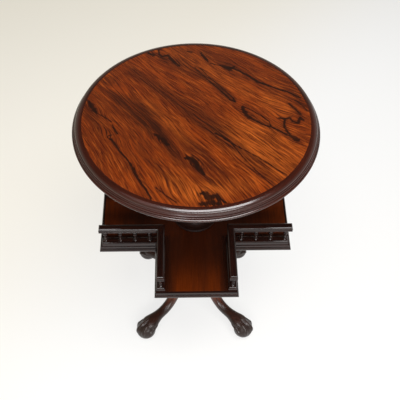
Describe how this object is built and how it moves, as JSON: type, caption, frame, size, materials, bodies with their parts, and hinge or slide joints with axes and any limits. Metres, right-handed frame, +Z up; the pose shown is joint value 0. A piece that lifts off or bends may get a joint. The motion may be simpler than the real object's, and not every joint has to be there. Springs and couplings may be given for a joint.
{
  "type": "revolving book table",
  "caption": "Round pedestal side table with a moulded top and a galleried cross-shaped undertier that revolve together on a base of cabriole legs with ball-and-claw feet.",
  "frame": {"origin": "on the floor under the pivot axis", "axes": "+Z up along the pivot; +X and +Y along two arms of the cross, with -Y the picture's front; the legs lie on the diagonals"},
  "size_m": [0.5999, 0.6, 0.765],
  "materials": {
    "top_rosewood": "French polished, high gloss, strong dark figure",
    "tier_rosewood": "French polished, gloss, straight grain",
    "dark_rosewood": "French polished, gloss, near black brown",
    "leg_rosewood": "French polished, gloss, darker at the carved feet",
    "steel": "turned, slightly dull",
    "iron": "blackened, matt",
    "brass": "turned, aged"
  },
  "bodies": {
    "base": {"pedestal": "dark_rosewood", "leg_front_left": "leg_rosewood", "leg_front_right": "leg_rosewood", "leg_back_right": "leg_rosewood", "leg_back_left": "leg_rosewood", "leg_plate": "iron", "leg_plate_screws": "iron", "pivot_pin": "steel", "bearing_lower": "iron", "bearing_lower_screws": "iron", "pivot_washer": "steel", "pivot_nut": "steel"},
    "revolving": {"bearing_upper": "brass", "bearing_upper_screws": "brass", "hub_boss": "dark_rosewood", "hub_screws": "steel", "pivot_bush": "brass", "undertier": "tier_rosewood", "nosing_right": "dark_rosewood", "nosing_back": "dark_rosewood", "nosing_left": "dark_rosewood", "nosing_front": "dark_rosewood", "moulding_right_back": "dark_rosewood", "moulding_right_front": "dark_rosewood", "moulding_back_left": "dark_rosewood", "moulding_back_right": "dark_rosewood", "moulding_left_front": "dark_rosewood", "moulding_left_back": "dark_rosewood", "moulding_front_right": "dark_rosewood", "moulding_front_left": "dark_rosewood", "spindles_right_back": "dark_rosewood", "spindles_right_front": "dark_rosewood", "spindles_back_left": "dark_rosewood", "spindles_back_right": "dark_rosewood", "spindles_left_front": "dark_rosewood", "spindles_left_back": "dark_rosewood", "spindles_front_right": "dark_rosewood", "spindles_front_left": "dark_rosewood", "rail_right_back": "dark_rosewood", "rail_right_front": "dark_rosewood", "rail_back_left": "dark_rosewood", "rail_back_right": "dark_rosewood", "rail_left_front": "dark_rosewood", "rail_left_back": "dark_rosewood", "rail_front_right": "dark_rosewood", "rail_front_left": "dark_rosewood", "column": "dark_rosewood", "column_screws": "steel", "top_block": "dark_rosewood", "top_screws": "brass", "tabletop_panel": "top_rosewood", "tabletop_moulding": "dark_rosewood"}
  },
  "joints": [
    {"name": "revolve", "type": "hinge", "parent": "base", "child": "revolving", "pos_m": [0, 0, 0.355], "axis": [0, 0, 1], "continuous": true}
  ]
}
